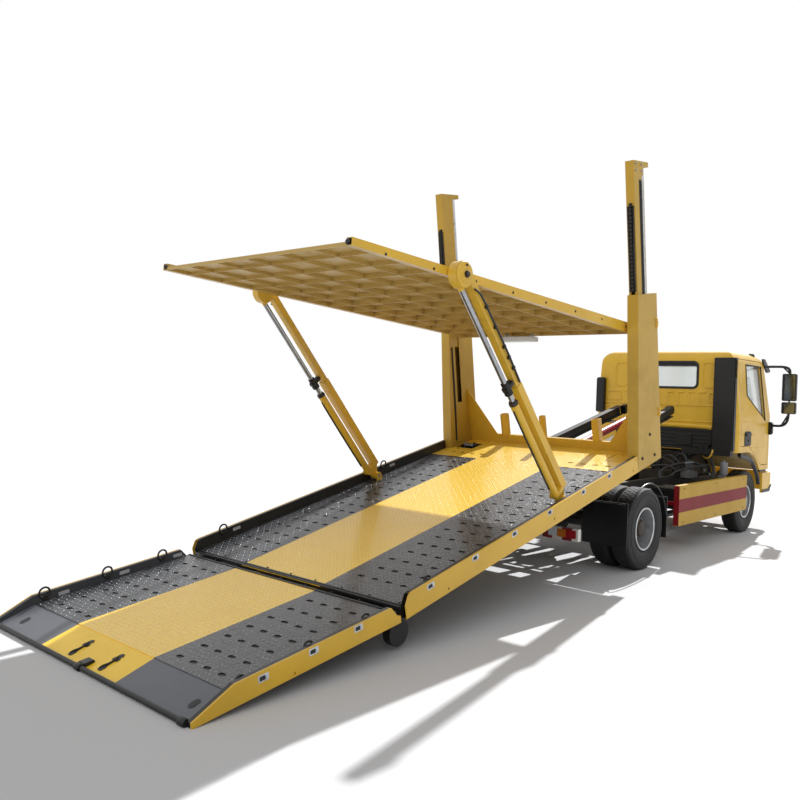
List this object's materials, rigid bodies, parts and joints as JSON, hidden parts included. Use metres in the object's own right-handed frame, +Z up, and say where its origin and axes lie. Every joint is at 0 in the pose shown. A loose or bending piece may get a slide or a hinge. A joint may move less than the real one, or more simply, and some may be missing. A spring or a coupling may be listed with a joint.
{
  "type": "double-deck slide-back recovery truck",
  "caption": "Forward-control recovery truck with a sliding, tilting lower deck, hinged tail ramp and an upper deck carried on telescopic masts and struts.",
  "frame": {"origin": "on the ground, at the middle of the length and width of the truck as it stands with its deck slid back", "axes": "+X forward to the cab, +Y to the left, +Z up"},
  "size_m": [9.581, 2.62, 3.8957],
  "materials": {
    "yellow_paint": "gloss",
    "black_paint": "satin",
    "grey_plate": "satin",
    "rim_steel": "satin",
    "tyre": "matte",
    "chrome_rod": "polished",
    "red_cylinder": "gloss",
    "black_plastic": "matte",
    "glass": "clear",
    "seat_fabric": "matte",
    "guard_paint": "gloss",
    "cast_block": "cast",
    "steel_roller": "worn"
  },
  "bodies": {
    "chassis": {"chassis_frame": "black_paint", "subframe": "black_paint", "front_axle": "black_paint", "rear_axle": "black_paint", "propeller_shaft": "black_paint", "leaf_springs": "black_paint", "engine": "cast_block", "fuel_tank": "black_paint", "side_guards": "guard_paint", "underrun_bar": "guard_paint", "mudguards": "black_plastic", "front_bumper": "yellow_paint", "air_intake_duct": "black_plastic"},
    "cab": {"cab_roof": "yellow_paint", "cab_rear_panel": "yellow_paint", "cab_front_panel": "yellow_paint", "cab_floor": "yellow_paint", "cab_side_frames": "yellow_paint", "cab_glass": "glass", "seats": "seat_fabric", "dashboard": "black_plastic", "steering_wheel": "black_plastic", "mirrors": "black_plastic", "sun_visor": "black_plastic"},
    "left_door": {"door_left": "yellow_paint", "door_glass_left": "glass"},
    "right_door": {"door_right": "yellow_paint", "door_glass_right": "glass"},
    "left_knuckle": {"knuckle_left": "black_paint"},
    "right_knuckle": {"knuckle_right": "black_paint"},
    "front_left_wheel": {"front_tyre_left": "tyre", "front_rim_left": "rim_steel"},
    "front_right_wheel": {"front_tyre_right": "tyre", "front_rim_right": "rim_steel"},
    "rear_left_wheels": {"rear_tyres_left": "tyre", "rear_rims_left": "rim_steel"},
    "rear_right_wheels": {"rear_tyres_right": "tyre", "rear_rims_right": "rim_steel"},
    "tilting_frame": {"tilt_frame": "black_paint", "slide_cylinder": "red_cylinder"},
    "tilt_barrels": {"tilt_cylinders": "black_paint"},
    "tilt_rods": {"tilt_rods": "chrome_rod"},
    "lower_deck": {"lower_deck_frame": "yellow_paint", "lower_deck_plate": "grey_plate", "front_wall": "yellow_paint", "column_left": "yellow_paint", "column_right": "yellow_paint", "lift_cylinders": "black_paint", "slide_rod": "chrome_rod", "deck_brackets": "yellow_paint"},
    "deck_rollers": {"hinge_rollers": "steel_roller"},
    "tail_ramp": {"tail_ramp_frame": "yellow_paint", "tail_ramp_plate": "grey_plate"},
    "masts": {"mast_left": "yellow_paint", "mast_right": "yellow_paint", "lift_rods": "chrome_rod"},
    "upper_deck": {"upper_deck_frame": "yellow_paint", "upper_deck_plate": "yellow_paint"},
    "strut_barrels": {"strut_barrels": "yellow_paint"},
    "strut_rods": {"strut_rods": "chrome_rod"}
  },
  "joints": [
    {"name": "cab_tilt", "type": "hinge", "parent": "chassis", "child": "cab", "pos_m": [4.67829, 0, 0.775], "axis": [0, 1, 0], "range_deg": [0, 45]},
    {"name": "door_left_hinge", "type": "hinge", "parent": "cab", "child": "left_door", "pos_m": [4.50229, 0.978, 0], "axis": [0, 0, -1], "range_deg": [0, 68]},
    {"name": "door_right_hinge", "type": "hinge", "parent": "cab", "child": "right_door", "pos_m": [4.50229, -0.978, 0], "axis": [0, 0, 1], "range_deg": [0, 68]},
    {"name": "steer_left", "type": "hinge", "parent": "chassis", "child": "left_knuckle", "pos_m": [3.80629, 0.67, 0], "axis": [0, 0, 1], "range_deg": [-30, 30]},
    {"name": "steer_right", "type": "hinge", "parent": "chassis", "child": "right_knuckle", "pos_m": [3.80629, -0.67, 0], "axis": [0, 0, 1], "range_deg": [-30, 30]},
    {"name": "front_left_wheel_spin", "type": "hinge", "parent": "left_knuckle", "child": "front_left_wheel", "pos_m": [3.80629, 0, 0.403], "axis": [0, 1, 0], "continuous": true},
    {"name": "front_right_wheel_spin", "type": "hinge", "parent": "right_knuckle", "child": "front_right_wheel", "pos_m": [3.80629, 0, 0.403], "axis": [0, 1, 0], "continuous": true},
    {"name": "rear_left_wheels_spin", "type": "hinge", "parent": "chassis", "child": "rear_left_wheels", "pos_m": [0.49829, 0, 0.403], "axis": [0, 1, 0], "continuous": true},
    {"name": "rear_right_wheels_spin", "type": "hinge", "parent": "chassis", "child": "rear_right_wheels", "pos_m": [0.49829, 0, 0.403], "axis": [0, 1, 0], "continuous": true},
    {"name": "deck_tilt", "type": "hinge", "parent": "chassis", "child": "tilting_frame", "pos_m": [-0.40171, 0, 0.73], "axis": [0, 1, 0], "range_deg": [0, 13.12]},
    {"name": "tilt_barrel_swing", "type": "hinge", "parent": "chassis", "child": "tilt_barrels", "pos_m": [1.39829, 0, 0.56], "axis": [0, 1, 0], "range_deg": [-24.38, 0]},
    {"name": "tilt_rod_stroke", "type": "slide", "parent": "tilt_barrels", "child": "tilt_rods", "axis": [-0.7475, 0, 0.6643], "range_m": [-0.17767, 0]},
    {"name": "deck_slide", "type": "slide", "parent": "tilting_frame", "child": "lower_deck", "axis": [0.9739, 0, 0.2269], "range_m": [0, 2.4]},
    {"name": "deck_rollers_spin", "type": "hinge", "parent": "lower_deck", "child": "deck_rollers", "pos_m": [-3.16775, 0, 0.11908], "axis": [0, 1, 0], "continuous": true},
    {"name": "ramp_hinge", "type": "hinge", "parent": "lower_deck", "child": "tail_ramp", "pos_m": [-3.24772, 0, 0.2596], "axis": [0, 1, 0], "range_deg": [-4.65, 3]},
    {"name": "mast_lift", "type": "slide", "parent": "lower_deck", "child": "masts", "axis": [-0.1562, 0, 0.9877], "range_m": [-0.63, 0]},
    {"name": "upper_deck_pitch", "type": "hinge", "parent": "masts", "child": "upper_deck", "pos_m": [0.06765, 0, 2.34919], "axis": [0, 1, 0], "range_deg": [-15.88, 0]},
    {"name": "strut_swing", "type": "hinge", "parent": "lower_deck", "child": "strut_barrels", "pos_m": [-1.16033, 0, 0.82396], "axis": [0, 1, 0], "range_deg": [-35.65, 0]},
    {"name": "strut_stroke", "type": "slide", "parent": "strut_barrels", "child": "strut_rods", "axis": [-0.6696, 0, 0.7427], "range_m": [-0.87377, 0]}
  ],
  "couplings": [
    {"joint": "steer_right", "follows": "steer_left", "ratio": 1},
    {"joint": "tilt_barrel_swing", "follows": "deck_tilt", "ratio": -1.8587},
    {"joint": "tilt_rod_stroke", "follows": "deck_tilt", "m_per_rad": -0.77619},
    {"joint": "upper_deck_pitch", "follows": "mast_lift", "rad_per_m": 0.43979},
    {"joint": "strut_swing", "follows": "mast_lift", "rad_per_m": 0.98768},
    {"joint": "strut_stroke", "follows": "mast_lift", "ratio": 1.3869}
  ]
}
